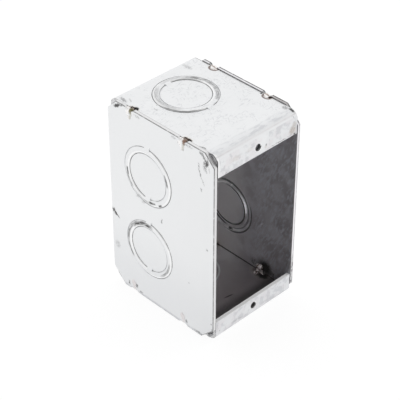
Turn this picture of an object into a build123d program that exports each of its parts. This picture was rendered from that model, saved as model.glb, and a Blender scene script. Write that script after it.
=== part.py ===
from build123d import *
import os

# A welded one-gang masonry box in galvanised sheet: a folded wrap makes the top, back and bottom with
# two front flanges, a flat plate closes each side, and short weld beads hold the seams together.
# Frame: X is the width, the open front faces -Y, +Z is up, and the origin is under the middle of the box.

# Box and sheet
BOX_HEIGHT = 97.0
BOX_DEPTH = 63.0
GANG_WIDTH = 46.8
SHEET = 1.6
BEND_RADIUS = 1.8
CORNER_CUT_UPPER = 5.3
CORNER_CUT_LOWER = 7.2
EDGE_BREAK = 0.2

# How the wrap sits between the plates
SEAM_STEP = 0.45
FLANGE_SET_BACK = 0.15
FLANGE_END_GAP = 0.3

# Front flanges and their tapped holes for the device screws
DEVICE_PITCH = 83.34
DEVICE_HOLE = 3.5
HOLE_TO_EDGE = 4.0

# Concentric knockouts: the ring between the two trade sizes is half sheared outwards
KO_SMALL = 22.2
KO_LARGE = 28.2
KO_RISE = 0.4
KO_SHOULDER = 0.5
KO_SLIT = 0.25
KO_TIE_WIDTH = 3.0
KO_TIE_RUN = 1.2
SIDE_KO_PITCH = 38.4
SIDE_KO_SHIFT = 7.5
SIDE_KO_LIFT = 0.3
END_KO_SHIFT = 10.3
BACK_KO_PITCH = 38.1

# Welds: each has a notch in the wrap's edge, a dip in the plate's edge and one fused bead
WELD_PITCH = 31.4
WELD_SHIFT = 2.4
NOTCH_DEPTH = 1.2
NOTCH_FRONT = 3.2
NOTCH_BACK = 0.9
DIP_DEPTH = 1.2
DIP_RADIUS = 3.6
BEAD_WIDTH = 3.8
BEAD_HEIGHT = 6.0
BEAD_SLOPE = 1.0
BEAD_PROUD = 0.5
BEAD_INSET = 0.1

# Places worked out from the sizes above
inner_x = GANG_WIDTH / 2
outer_x = inner_x + SHEET
middle_z = BOX_HEIGHT / 2
side_middle = middle_z + SIDE_KO_LIFT
wrap_front = -BOX_DEPTH / 2 + FLANGE_SET_BACK
wrap_back = BOX_DEPTH / 2 - SEAM_STEP
wrap_depth = wrap_back - wrap_front
wrap_height = BOX_HEIGHT - 2 * SEAM_STEP
wrap_middle = ((wrap_front + wrap_back) / 2, middle_z)
wrap_top = BOX_HEIGHT - SEAM_STEP
mouth_height = DEVICE_PITCH - 2 * HOLE_TO_EDGE
weld_places = (WELD_SHIFT + WELD_PITCH / 2, WELD_SHIFT - WELD_PITCH / 2)
slit_out = KO_LARGE / 2 + KO_SLIT
slit_in = KO_SMALL / 2 - KO_SLIT
slit_depth = KO_RISE * KO_SLIT / KO_SHOULDER
ring_middle = (KO_LARGE + KO_SMALL) / 4
hollow_floor = KO_RISE - SHEET
bead_x = outer_x + BEAD_PROUD - BEAD_WIDTH / 2
bead_rise = middle_z - BEAD_INSET - BEAD_HEIGHT / 2

# Each knockout is placed by a plane on the sheet's outside face, with its own y axis along the two ties
front_face = Plane(origin=(0, wrap_front, middle_z), x_dir=(1, 0, 0), z_dir=(0, -1, 0))
top_knockout = Plane(origin=(0, END_KO_SHIFT, wrap_top), x_dir=(-1, 0, 0), z_dir=(0, 0, 1))
bottom_knockout = Plane(origin=(0, END_KO_SHIFT, SEAM_STEP), x_dir=(1, 0, 0), z_dir=(0, 0, -1))
back_knockouts = [
    Plane(origin=(0, wrap_back, height), x_dir=(-1, 0, 0), z_dir=(0, 1, 0))
    for height in (middle_z - BACK_KO_PITCH / 2, middle_z + BACK_KO_PITCH / 2)
]
left_knockouts = [
    Plane(origin=(-outer_x, SIDE_KO_SHIFT, height), x_dir=(0, -1, 0), z_dir=(-1, 0, 0))
    for height in (side_middle - SIDE_KO_PITCH / 2, side_middle + SIDE_KO_PITCH / 2)
]

# Raised side of a knockout: the ring, whose sloped walls run down into the slits, and the two ties
with BuildPart() as knockout_raise:
    with BuildSketch(Plane.XZ) as ring_section:
        with BuildLine():
            Polyline(
                (slit_in, -slit_depth),
                (KO_SMALL / 2 + KO_SHOULDER, KO_RISE),
                (KO_LARGE / 2 - KO_SHOULDER, KO_RISE),
                (slit_out, -slit_depth),
                close=True,
            )
        make_face()
    revolve(axis=Axis.Z)
    with BuildSketch(Plane.YZ) as tie_slopes:
        with BuildLine():
            Polyline(
                (ring_middle, 0),
                (ring_middle, KO_RISE),
                (slit_out, KO_RISE),
                (slit_out + KO_TIE_RUN, 0),
                close=True,
            )
        make_face()
        with BuildLine():
            Polyline(
                (-ring_middle, 0),
                (-ring_middle, KO_RISE),
                (-slit_in, KO_RISE),
                (KO_TIE_RUN - slit_in, 0),
                close=True,
            )
        make_face()
    extrude(amount=KO_TIE_WIDTH / 2, both=True)

# Cut side of a knockout: the hollow behind the ring, and the sheared slits along both circles
with BuildPart() as knockout_cut:
    with BuildSketch(Plane.XY.offset(-SHEET)) as hollow:
        Circle(KO_LARGE / 2)
        Circle(KO_SMALL / 2, mode=Mode.SUBTRACT)
    extrude(amount=KO_RISE)
    with BuildSketch(Plane.YZ.offset(-KO_TIE_WIDTH / 2)) as tie_backs:
        with BuildLine():
            Polyline(
                (slit_out, -SHEET),
                (slit_out - KO_TIE_RUN, hollow_floor),
                (slit_out, hollow_floor),
                close=True,
            )
        make_face()
        with BuildLine():
            Polyline(
                (-slit_in, -SHEET),
                (-slit_in - KO_TIE_RUN, hollow_floor),
                (-slit_in, hollow_floor),
                close=True,
            )
        make_face()
    extrude(amount=KO_TIE_WIDTH, mode=Mode.SUBTRACT)
    with BuildSketch() as slits:
        Circle(slit_out)
        Circle(slit_in, mode=Mode.SUBTRACT)
        with Locations((0, slit_out), (0, -slit_in)):
            Rectangle(KO_TIE_WIDTH, KO_TIE_RUN, mode=Mode.SUBTRACT)
    extrude(amount=-slit_depth)

# Wrap: one strip folded into top, back, bottom and the two front flanges
with BuildPart() as wrap:
    with BuildSketch(Plane.YZ) as strip_section:
        with Locations(wrap_middle):
            RectangleRounded(wrap_depth, wrap_height, BEND_RADIUS + SHEET)
            RectangleRounded(wrap_depth - 2 * SHEET, wrap_height - 2 * SHEET, BEND_RADIUS, mode=Mode.SUBTRACT)
        with Locations((wrap_front, middle_z)):
            Rectangle(4 * SHEET, mouth_height, mode=Mode.SUBTRACT)
    extrude(amount=inner_x, both=True)
    with BuildSketch(front_face) as flange_ends:
        with GridLocations(GANG_WIDTH - FLANGE_END_GAP, 0, 2, 1):
            Rectangle(FLANGE_END_GAP, BOX_HEIGHT)
    extrude(amount=-(BEND_RADIUS + SHEET), mode=Mode.SUBTRACT)
    with BuildSketch(front_face) as device_holes:
        with GridLocations(0, DEVICE_PITCH, 1, 2):
            Circle(DEVICE_HOLE / 2)
    extrude(amount=-2 * SHEET, mode=Mode.SUBTRACT)
    with BuildSketch() as weld_notches:
        for place in weld_places:
            with Locations((0, place + (NOTCH_BACK - NOTCH_FRONT) / 2)):
                with GridLocations(GANG_WIDTH - NOTCH_DEPTH, 0, 2, 1):
                    Rectangle(NOTCH_DEPTH, NOTCH_FRONT + NOTCH_BACK)
    extrude(amount=BOX_HEIGHT, mode=Mode.SUBTRACT)
    with Locations(top_knockout, bottom_knockout, *back_knockouts):
        add(knockout_cut.part, mode=Mode.SUBTRACT)
        add(knockout_raise.part)
wrap.part.label = "wrap"

# Left side plate: flat, with slanted corners, broken outer edges and two knockouts, all punched a little high
with BuildPart() as left_side_plate:
    with BuildSketch(Plane.YZ.offset(-outer_x)) as plate_outline:
        with Locations((0, middle_z)):
            Rectangle(BOX_DEPTH, BOX_HEIGHT)
        chamfer(plate_outline.vertices().group_by(Axis.Y)[-1], CORNER_CUT_UPPER)
        chamfer(plate_outline.vertices().group_by(Axis.Y)[0], CORNER_CUT_LOWER)
    extrude(amount=SHEET)
    chamfer(left_side_plate.faces().sort_by(Axis.X)[0].edges(), EDGE_BREAK)
    with BuildSketch(Plane.YZ.offset(-outer_x)) as weld_dips:
        for place in weld_places:
            with Locations((place, middle_z)):
                with GridLocations(0, BOX_HEIGHT + 2 * (DIP_RADIUS - DIP_DEPTH), 1, 2):
                    Circle(DIP_RADIUS)
    extrude(amount=SHEET, mode=Mode.SUBTRACT)
    with Locations(*left_knockouts):
        add(knockout_cut.part, mode=Mode.SUBTRACT)
        add(knockout_raise.part)
left_side_plate.part.label = "left_side_plate"

# Right side plate: the same blank, turned end over end, so that its raised rings face outwards too
with BuildPart() as right_side_plate:
    with Locations(Location((0, 0, BOX_HEIGHT), (0, 180, 0))):
        add(left_side_plate.part)
right_side_plate.part.label = "right_side_plate"

# Weld beads: eight fused lumps, two on each seam, filling the notches and lapping onto the plates
with BuildPart() as bead:
    with BuildSketch() as bead_section:
        RegularPolygon(BEAD_WIDTH / 2, side_count=8, major_radius=False, rotation=180 / 8)
    extrude(amount=BEAD_HEIGHT / 2, both=True)
    chamfer(bead.faces().filter_by(Axis.Z).edges(), BEAD_SLOPE)

with BuildPart() as weld_beads:
    for place in weld_places:
        with Locations((0, place, middle_z)):
            with GridLocations(2 * bead_x, 0, 2, 1):
                with Locations((0, 0, bead_rise), (0, 0, -bead_rise)):
                    add(bead.part)
    add(wrap.part, mode=Mode.SUBTRACT)
    add(left_side_plate.part, mode=Mode.SUBTRACT)
    add(right_side_plate.part, mode=Mode.SUBTRACT)
weld_beads.part.label = "weld_beads"

os.makedirs("parts", exist_ok=True)
export_step(wrap.part, "parts/wrap.step")
export_step(left_side_plate.part, "parts/left_side_plate.step")
export_step(right_side_plate.part, "parts/right_side_plate.step")
export_step(weld_beads.part, "parts/weld_beads.step")
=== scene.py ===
import math

import bmesh
import bpy
from mathutils import Matrix, Vector, noise


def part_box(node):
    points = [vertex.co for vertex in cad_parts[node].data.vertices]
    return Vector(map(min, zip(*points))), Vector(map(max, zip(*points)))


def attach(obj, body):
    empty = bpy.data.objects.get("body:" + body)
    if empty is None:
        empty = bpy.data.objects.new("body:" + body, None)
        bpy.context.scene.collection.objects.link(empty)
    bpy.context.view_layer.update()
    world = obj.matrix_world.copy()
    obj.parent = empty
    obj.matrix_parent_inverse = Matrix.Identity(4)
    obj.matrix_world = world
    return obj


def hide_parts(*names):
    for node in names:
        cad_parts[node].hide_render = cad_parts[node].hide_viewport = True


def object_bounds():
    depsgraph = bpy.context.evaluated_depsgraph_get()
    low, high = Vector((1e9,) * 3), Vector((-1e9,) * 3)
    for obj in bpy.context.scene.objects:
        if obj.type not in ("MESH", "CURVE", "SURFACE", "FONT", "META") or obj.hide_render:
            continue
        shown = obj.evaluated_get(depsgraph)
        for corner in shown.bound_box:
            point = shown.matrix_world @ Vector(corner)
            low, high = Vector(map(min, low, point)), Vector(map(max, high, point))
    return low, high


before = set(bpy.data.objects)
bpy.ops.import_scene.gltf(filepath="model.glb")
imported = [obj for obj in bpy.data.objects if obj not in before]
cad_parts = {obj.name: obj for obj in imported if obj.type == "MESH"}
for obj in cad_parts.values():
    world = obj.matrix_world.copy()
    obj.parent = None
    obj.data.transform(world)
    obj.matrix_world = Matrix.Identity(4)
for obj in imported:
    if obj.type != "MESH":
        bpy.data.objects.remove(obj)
cad_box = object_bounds()


# Wrap: one strip of galvanised sheet steel, punched, then folded into the top, the back, the bottom and
# the two front flanges. The zinc is pale and even outside, scuffed on the flanges, and darker inside:
# partly dull, partly painted shade.

MM = 0.001
SHEET = 1.6
MIDDLE_Z = (cad_box[0][2] + cad_box[1][2]) / 2 / MM
PLATE_HALF = (cad_box[1][2] - cad_box[0][2]) / 2 / MM
SEAM_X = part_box("wrap")[1][0] / MM
WRAP_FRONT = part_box("wrap")[0][1] / MM
RING_RISE = 0.4
WRAP_HALF = (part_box("wrap")[1][2] / MM - RING_RISE) - MIDDLE_Z
WRAP_TOP = MIDDLE_Z + WRAP_HALF
WRAP_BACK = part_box("wrap")[1][1] / MM - RING_RISE
BEND_OUTSIDE = 3.4
WELD_REAR, WELD_FRONT = 18.1, -13.3
WELD_MIDDLE, WELD_HALF = (WELD_REAR + WELD_FRONT) / 2, (WELD_REAR - WELD_FRONT) / 2
RING_OUT, RING_IN = 14.1, 11.1
END_KNOCKOUT_Y, BACK_KNOCKOUT_HALF = 10.3, 19.05
SCREW_HALF_PITCH, HOLE_RADIUS = 83.34 / 2, 1.75
MOUTH_HALF = SCREW_HALF_PITCH - 4.0
FLOAT, VECTOR = "NodeSocketFloat", "NodeSocketVector"


def join(tree, value, socket):
    if isinstance(value, bpy.types.NodeSocket):
        tree.links.new(value, socket)
    else:
        socket.default_value = value


def sums(tree, operation, *values):
    node = tree.nodes.new("ShaderNodeMath")
    node.operation = operation
    for value, socket in zip(values, node.inputs):
        join(tree, value, socket)
    return node.outputs[0]


def times(tree, first, *others):
    for other in others:
        first = sums(tree, "MULTIPLY", first, other)
    return first


def most(tree, first, *others):
    for other in others:
        first = sums(tree, "MAXIMUM", first, other)
    return first


def opposite(tree, mask):
    return sums(tree, "SUBTRACT", 1.0, mask)


def apart(tree, value, other):
    return sums(tree, "ABSOLUTE", sums(tree, "SUBTRACT", value, other))


def smooth(tree, value, none, full):
    """Soft step: 0 at the first value, 1 at the second, whichever of the two is larger."""
    node = tree.nodes.new("ShaderNodeMapRange")
    node.interpolation_type = "SMOOTHSTEP"
    join(tree, value, node.inputs["Value"])
    node.inputs["From Min"].default_value = none
    node.inputs["From Max"].default_value = full
    return node.outputs["Result"]


def cloud(tree, place, scale, detail=3.0):
    node = tree.nodes.new("ShaderNodeTexNoise")
    join(tree, place, node.inputs["Vector"])
    node.inputs["Scale"].default_value = scale
    node.inputs["Detail"].default_value = detail
    return node.outputs["Fac"]


def tint(tree, factor, first, second):
    node = tree.nodes.new("ShaderNodeMix")
    node.data_type = "RGBA"
    join(tree, factor, node.inputs[0])
    join(tree, first, node.inputs[6])
    join(tree, second, node.inputs[7])
    return node.outputs[2]


def axes(tree, place):
    node = tree.nodes.new("ShaderNodeSeparateXYZ")
    join(tree, place, node.inputs[0])
    return node.outputs["X"], node.outputs["Y"], node.outputs["Z"]


def vector(tree, operation, *values):
    node = tree.nodes.new("ShaderNodeVectorMath")
    node.operation = operation
    for value, socket in zip(values, node.inputs):
        join(tree, value, socket)
    return node.outputs["Value"] if operation == "LENGTH" else node.outputs["Vector"]


def bundle(tree, *values):
    node = tree.nodes.new("ShaderNodeCombineXYZ")
    for value, socket in zip(values, node.inputs):
        join(tree, value, socket)
    return node.outputs[0]


def turned(tree, place, centre, turn, reach):
    """The place as seen from a centre, turned by degrees about each axis, in units of the reach."""
    node = tree.nodes.new("ShaderNodeMapping")
    node.vector_type = "TEXTURE"
    join(tree, place, node.inputs["Vector"])
    node.inputs["Location"].default_value = centre
    node.inputs["Rotation"].default_value = [math.radians(angle) for angle in turn]
    node.inputs["Scale"].default_value = reach
    return node.outputs[0]


def shader_group(name, inputs, outputs):
    tree = bpy.data.node_groups.new(name, "ShaderNodeTree")
    for socket, kind in inputs.items():
        tree.interface.new_socket(socket, in_out="INPUT", socket_type=kind)
    for socket, kind in outputs.items():
        tree.interface.new_socket(socket, in_out="OUTPUT", socket_type=kind)
    given = tree.nodes.new("NodeGroupInput").outputs
    made = tree.nodes.new("NodeGroupOutput").inputs
    return tree, given, made


def placed(tree, group, **inputs):
    node = tree.nodes.new("ShaderNodeGroup")
    node.node_tree = group
    for socket, value in inputs.items():
        join(tree, value, node.inputs[socket])
    return node.outputs


# Zinc grain: large soft clouds, faint crystal flowers and a fine rolled grain.
zinc_grain, given, made = shader_group(
    "zinc_grain",
    {"Place": VECTOR, "Amount": FLOAT},
    {"Tone": FLOAT, "Roughness": FLOAT, "Height": FLOAT},
)
broad = cloud(zinc_grain, given["Place"], 0.07, 3.0)
middle = cloud(zinc_grain, given["Place"], 0.45, 4.0)
fine = cloud(zinc_grain, given["Place"], 5.0, 2.0)
flowers = zinc_grain.nodes.new("ShaderNodeTexVoronoi")
flowers.feature = "SMOOTH_F1"
join(zinc_grain, given["Place"], flowers.inputs["Vector"])
flowers.inputs["Scale"].default_value = 0.3
flowers.inputs["Smoothness"].default_value = 0.6
swing = sums(zinc_grain, "ADD", sums(zinc_grain, "ADD", broad, middle), -1.0)
swing = sums(zinc_grain, "MULTIPLY_ADD", flowers.outputs["Distance"], 0.12, swing)
join(zinc_grain, sums(zinc_grain, "MULTIPLY_ADD", swing, given["Amount"], 1.0), made["Tone"])
join(zinc_grain, sums(zinc_grain, "MULTIPLY_ADD", middle, 0.16, 0.32), made["Roughness"])
join(zinc_grain, sums(zinc_grain, "MULTIPLY_ADD", fine, 0.3, middle), made["Height"])

# Weld heat: how near a point is to one of the eight welds, as burnt, brown and straw-coloured rings.
weld_heat, given, made = shader_group(
    "weld_heat",
    {"Place": VECTOR, "Reach": FLOAT},
    {"Burn": FLOAT, "Brown": FLOAT, "Straw": FLOAT},
)
x, y, z = axes(weld_heat, given["Place"])
aside = sums(weld_heat, "SUBTRACT", sums(weld_heat, "ABSOLUTE", x), SEAM_X - 0.3)
level = sums(weld_heat, "SUBTRACT", apart(weld_heat, z, MIDDLE_Z), PLATE_HALF - 0.8)
to_rear, to_front = (apart(weld_heat, y, weld - 1.0) for weld in (WELD_REAR, WELD_FRONT))
along = sums(weld_heat, "MINIMUM", to_rear, to_front)
spread = bundle(
    weld_heat,
    sums(weld_heat, "DIVIDE", aside, 1.6),
    sums(weld_heat, "DIVIDE", along, 2.4),
    sums(weld_heat, "DIVIDE", level, 1.6),
)
ragged = sums(weld_heat, "SUBTRACT", cloud(weld_heat, given["Place"], 0.9, 4.0), 0.5)
far = sums(weld_heat, "MULTIPLY_ADD", ragged, 1.2, vector(weld_heat, "LENGTH", spread))
far = sums(weld_heat, "DIVIDE", far, given["Reach"])
join(weld_heat, smooth(weld_heat, far, 1.0, 0.75), made["Burn"])
join(weld_heat, smooth(weld_heat, far, 1.45, 1.0), made["Brown"])
join(weld_heat, smooth(weld_heat, far, 2.1, 1.3), made["Straw"])

# Knockout shading: outside, each ring's sloped walls get a painted highlight at the top on one side, and
# painted shade in the slit at the foot, patchy and stronger on that same side. Inside, the sheared edges
# are rolled over, which gives relief. The ties, along the Up axis, are left plain.
TIE_HALF = 1.5
knockout_shading, given, made = shader_group(
    "knockout_shading",
    {"Across": FLOAT, "Up": FLOAT, "Inside": FLOAT, "Place": VECTOR},
    {"Radius": FLOAT, "Bright": FLOAT, "Slit shade": FLOAT, "Relief": FLOAT},
)
radius = vector(knockout_shading, "LENGTH", bundle(knockout_shading, given["Across"], given["Up"], 0.0))
join(knockout_shading, radius, made["Radius"])
in_line = sums(knockout_shading, "ABSOLUTE", given["Across"])
lean = sums(knockout_shading, "DIVIDE", given["Across"], radius)
highlights, slit_shades, loose = [], [], []
# Painted highlight and painted slit shade for each circle, on the side picked out by the lean.
for circle, outwards in ((RING_OUT, 1), (RING_IN, -1)):
    untied = smooth(knockout_shading, in_line, TIE_HALF - 0.1, TIE_HALF + 0.3)
    far_side = smooth(knockout_shading, given["Up"], 0.5 * outwards, -0.5 * outwards)
    untied = most(knockout_shading, untied, far_side)
    crest = apart(knockout_shading, radius, circle - 0.5 * outwards)
    turned_up = smooth(knockout_shading, lean, 0.3 * outwards, -0.3 * outwards)
    highlights.append(times(knockout_shading, smooth(knockout_shading, crest, 0.5, 0.25), untied, turned_up))
    foot = smooth(knockout_shading, radius, circle - 0.2 * outwards, circle - 0.05 * outwards)
    end = smooth(knockout_shading, radius, circle + 0.235 * outwards, circle + 0.21 * outwards)
    shaded = smooth(knockout_shading, lean, 0.9 * outwards, 0.0)
    shaded = sums(knockout_shading, "MULTIPLY_ADD", shaded, 0.6, 0.4)
    slit_shades.append(times(knockout_shading, foot, end, untied, shaded))
    loose.append(untied)
patchy = smooth(knockout_shading, cloud(knockout_shading, given["Place"], 0.3, 2.0), 0.15, 0.6)
outside = opposite(knockout_shading, given["Inside"])
join(knockout_shading, times(knockout_shading, most(knockout_shading, *highlights), outside), made["Bright"])
join(knockout_shading, times(knockout_shading, most(knockout_shading, *slit_shades), outside, patchy), made["Slit shade"])

# The rolled edges go down into the hollow behind the ring and up out of it, except along the ties.
ROLL_DEPTH = 0.7
down_to_ring = smooth(knockout_shading, radius, RING_IN - 0.35, RING_IN + 0.1)
inner_tie = most(knockout_shading, loose[1], smooth(knockout_shading, radius, RING_IN + 0.1, RING_IN + 1.3))
up_to_sheet = smooth(knockout_shading, radius, RING_OUT - 0.75, RING_OUT - 0.4)
outer_tie = most(knockout_shading, loose[0], smooth(knockout_shading, radius, RING_OUT + 0.1, RING_OUT + 1.3))
relief = times(knockout_shading, up_to_sheet, outer_tie, ROLL_DEPTH)
relief = sums(knockout_shading, "SUBTRACT", relief, times(knockout_shading, down_to_ring, inner_tie, ROLL_DEPTH))
join(knockout_shading, times(knockout_shading, relief, given["Inside"]), made["Relief"])


def millimetres(tree):
    coordinates = tree.nodes.new("ShaderNodeTexCoord")
    node = tree.nodes.new("ShaderNodeVectorMath")
    node.operation = "SCALE"
    tree.links.new(coordinates.outputs["Object"], node.inputs[0])
    node.inputs["Scale"].default_value = 1 / MM
    return node.outputs[0]


def marks(tree, place, spots):
    """Ragged smudges: each spot has a centre, a reach and a turn for each axis, and a strength."""
    ragged = tree.nodes.new("ShaderNodeTexNoise")
    join(tree, place, ragged.inputs["Vector"])
    ragged.inputs["Scale"].default_value = 1.1
    ragged.inputs["Detail"].default_value = 4.0
    off = vector(tree, "SUBTRACT", ragged.outputs["Color"], (0.5, 0.5, 0.5))
    shifted = vector(tree, "MULTIPLY_ADD", off, (1.6, 1.6, 1.6), place)
    nudged = vector(tree, "MULTIPLY_ADD", off, (0.35, 0.35, 0.35), place)
    holes = smooth(tree, cloud(tree, place, 2.3, 3.0), 0.3, 0.6)
    total = 0.0
    for centre, reach, turn, strength in spots:
        broad_spot = sorted(reach)[1] > 0.7
        spot = turned(tree, shifted if broad_spot else nudged, centre, turn, reach)
        mask = times(tree, smooth(tree, vector(tree, "LENGTH", spot), 1.15, 0.35), strength)
        if broad_spot and strength < 0.9:
            mask = times(tree, mask, holes)
        total = most(tree, mask, total)
    return total


def ring_bands(tree, across, up, radius, arcs):
    """Bands on a knockout: each arc has an angle and half angle, a radius and half width, a strength."""
    total = 0.0
    for angle, half_angle, at, half_width, strength in arcs:
        turn = math.radians(angle)
        towards = sums(tree, "MULTIPLY_ADD", across, math.cos(turn), times(tree, up, math.sin(turn)))
        towards = sums(tree, "DIVIDE", towards, radius)
        none, full = (math.cos(math.radians(half_angle * share)) for share in (1.25, 0.55))
        near = smooth(tree, apart(tree, radius, at), half_width * 1.3, half_width * 0.5)
        total = most(tree, times(tree, smooth(tree, towards, none, full), near, strength), total)
    return total


def ring_streaks(tree, across, up, radius, place):
    """Rubbing that runs along the ring: noise stretched round the knockout's middle."""
    angle = times(tree, sums(tree, "ARCTAN2", up, across), 5.0)
    level = times(tree, axes(tree, place)[2], 0.02)
    streaks = cloud(tree, bundle(tree, angle, times(tree, radius, 1.9), level), 1.0, 3.0)
    return sums(tree, "MULTIPLY_ADD", smooth(tree, streaks, 0.34, 0.6), 0.65, 0.35)


def along_weld(tree, y, forward=0.0):
    """Distance along the seam from the nearer weld, or from a place that far in front of it."""
    along = sums(tree, "SUBTRACT", y, WELD_MIDDLE - forward)
    return sums(tree, "SUBTRACT", along, times(tree, sums(tree, "SIGN", along), WELD_HALF))


def zinc_sheet(name, grain_amount):
    material = bpy.data.materials.new(name)
    material.use_nodes = True
    tree = material.node_tree
    place = millimetres(tree)
    grain = placed(tree, zinc_grain, Place=place, Amount=grain_amount)
    return material, tree, tree.nodes["Principled BSDF"], place, grain


def zinc_finish(tree, shader, grain, bare, layers, dirt_and_shade, bloom=0.0, relief=0.0):
    """Bare zinc with its grain, tinted layers in turn, and grime with painted shade on top. That dark layer
    and bloom are dull.
    """
    toned = tree.nodes.new("ShaderNodeVectorMath")
    toned.operation = "SCALE"
    join(tree, bare, toned.inputs[0])
    join(tree, grain["Tone"], toned.inputs["Scale"])
    colour = toned.outputs[0]
    for mask, shade in layers:
        colour = tint(tree, mask, colour, shade)
    colour = tint(tree, dirt_and_shade, colour, BLACK_DIRT_AND_SHADE)
    join(tree, colour, shader.inputs["Base Color"])
    dull = most(tree, times(tree, dirt_and_shade, 0.6), times(tree, bloom, 0.8))
    join(tree, opposite(tree, dull), shader.inputs["Metallic"])
    join(tree, sums(tree, "MULTIPLY_ADD", dirt_and_shade, 0.25, grain["Roughness"]), shader.inputs["Roughness"])
    bump = tree.nodes.new("ShaderNodeBump")
    bump.inputs["Strength"].default_value = 0.06
    bump.inputs["Distance"].default_value = 0.02 * MM
    join(tree, grain["Height"], bump.inputs["Height"])
    rolled = tree.nodes.new("ShaderNodeBump")
    rolled.inputs["Strength"].default_value = 1.0
    rolled.inputs["Distance"].default_value = MM
    join(tree, relief, rolled.inputs["Height"])
    join(tree, rolled.outputs["Normal"], bump.inputs["Normal"])
    join(tree, bump.outputs["Normal"], shader.inputs["Normal"])


PALE_ZINC = (0.872, 0.88, 0.888, 1)
# Inside: partly dull zinc, partly painted shade of the hollow.
DULL_SHADED_ZINC = (0.83, 0.82, 0.83, 1)
# Painted highlight: the near-white laid on edges, rims and lines to make them shine.
PAINTED_HIGHLIGHT = (0.995, 0.997, 1.0, 1)
SCUFF_GREY = (0.52, 0.53, 0.56, 1)
STRAW_TINT = (0.80, 0.77, 0.69, 1)
BROWN_TINT = (0.30, 0.22, 0.19, 1)
# A purple stain inside, also used as painted shade on the box's floor.
PURPLE_STAIN_AND_SHADE = (0.45, 0.41, 0.42, 1)
PINK_TINT = (0.80, 0.745, 0.765, 1)
YELLOW_STAIN = (0.50, 0.44, 0.38, 1)
SHEARED_ZINC = (0.84, 0.84, 0.85, 1)
BURNT_RING = (0.17, 0.11, 0.10, 1)
# Dark grime, also used for painted shade.
BLACK_DIRT_AND_SHADE = (0.05, 0.046, 0.045, 1)

# Where on the folded strip a point lies.
wrap_zinc, tree, shader, place, grain = zinc_sheet("wrap_zinc", 0.05)
x, y, z = axes(tree, place)
height = sums(tree, "SUBTRACT", z, MIDDLE_Z)
from_middle = sums(tree, "ABSOLUTE", height)
aside = sums(tree, "ABSOLUTE", x)
inside = times(
    tree,
    smooth(tree, from_middle, WRAP_HALF - 0.6, WRAP_HALF - 1.1),
    smooth(tree, y, WRAP_BACK - 0.6, WRAP_BACK - 1.1),
    smooth(tree, y, WRAP_FRONT + 0.6, WRAP_FRONT + 1.1),
)
across_edge = axes(tree, tree.nodes.new("ShaderNodeNewGeometry").outputs["True Normal"])[0]
sheared = smooth(tree, sums(tree, "ABSOLUTE", across_edge), 0.7, 0.9)
sheared = times(tree, sheared, smooth(tree, aside, 19.0, 20.0))
off_edge = opposite(tree, sheared)
off_lip = most(
    tree,
    smooth(tree, y, WRAP_FRONT + SHEET + 0.05, WRAP_FRONT + SHEET + 0.35),
    smooth(tree, from_middle, MOUTH_HALF + 0.08, MOUTH_HALF + 0.33),
)
inside = times(tree, inside, off_edge, off_lip)
# The flanges' inner edges are a painted highlight, with a relief that tilts them to the light.
lip = opposite(tree, off_lip)
at_end = smooth(tree, from_middle, WRAP_HALF - 3.0, WRAP_HALF - 2.4)
back_row = times(tree, sums(tree, "SIGN", height), BACK_KNOCKOUT_HALF)
up_back = sums(tree, "SUBTRACT", height, back_row)
up_end = sums(tree, "SUBTRACT", END_KNOCKOUT_Y, y)
up = sums(tree, "ADD", times(tree, at_end, sums(tree, "SUBTRACT", up_end, up_back)), up_back)
ring_shading = placed(tree, knockout_shading, Across=x, Up=up, Inside=inside, Place=place)
heat = placed(tree, weld_heat, Place=place, Reach=sums(tree, "MULTIPLY_ADD", inside, 0.9, 0.75))
on_top = smooth(tree, z, WRAP_TOP - 0.9, WRAP_TOP - 0.5)
on_flange = times(
    tree,
    smooth(tree, y, WRAP_FRONT + 0.5, WRAP_FRONT + 0.2),
    smooth(tree, from_middle, 47.5, 45.5),
)

# Scuffs: short strokes on the top, smears along the front bend, blots on the flanges; the flanges are also
# greyer on the lower one and towards the right.
scuff_lines = 0.0
for slant, length in ((8, 2.6), (-35, 1.8), (60, 1.6)):
    stroke = cloud(tree, turned(tree, place, (slant, 0, 0), (0, 0, slant), (length, 0.5, 0.5)), 0.75, 4.0)
    scuff_lines = most(tree, smooth(tree, stroke, 0.57, 0.68), scuff_lines)
scuff_patch = smooth(tree, cloud(tree, place, 0.16, 3.0), 0.4, 0.6)
at_bend = times(
    tree,
    smooth(tree, y, WRAP_FRONT + 6.5, WRAP_FRONT + 4.0),
    smooth(tree, y, WRAP_FRONT + 1.2, WRAP_FRONT + 2.4),
)
smear = cloud(tree, turned(tree, place, (0, 0, 0), (0, 0, 2), (2.2, 0.8, 0.8)), 0.5, 5.0)
smear = sums(tree, "MULTIPLY_ADD", smooth(tree, smear, 0.44, 0.6), 0.75, 0.25)
flange_blots = smooth(tree, cloud(tree, place, 0.4, 5.0), 0.46, 0.62)
flange_pink = times(tree, on_flange, smooth(tree, cloud(tree, place, 0.19, 3.0), 0.42, 0.6))
flange_grey_level = sums(tree, "MULTIPLY_ADD", smooth(tree, z, MIDDLE_Z + 5, MIDDLE_Z - 5), 0.12, 0.1)
flange_grey_level = sums(tree, "MULTIPLY_ADD", smooth(tree, x, -12.0, 16.0), 0.07, flange_grey_level)
flange_grey_level = sums(tree, "MULTIPLY_ADD", flange_blots, 0.34, flange_grey_level)
fresh_patch = times(tree, smooth(tree, apart(tree, x, 2.6), 3.9, 3.4), smooth(tree, z, 87.5, 88.2))
flange_grey_level = times(tree, flange_grey_level, sums(tree, "MULTIPLY_ADD", fresh_patch, -0.75, 1.0))
scuffs = most(
    tree,
    times(tree, on_top, scuff_lines, scuff_patch, 0.36),
    times(tree, at_bend, smear, 0.5),
    times(tree, on_flange, flange_grey_level),
)

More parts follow.
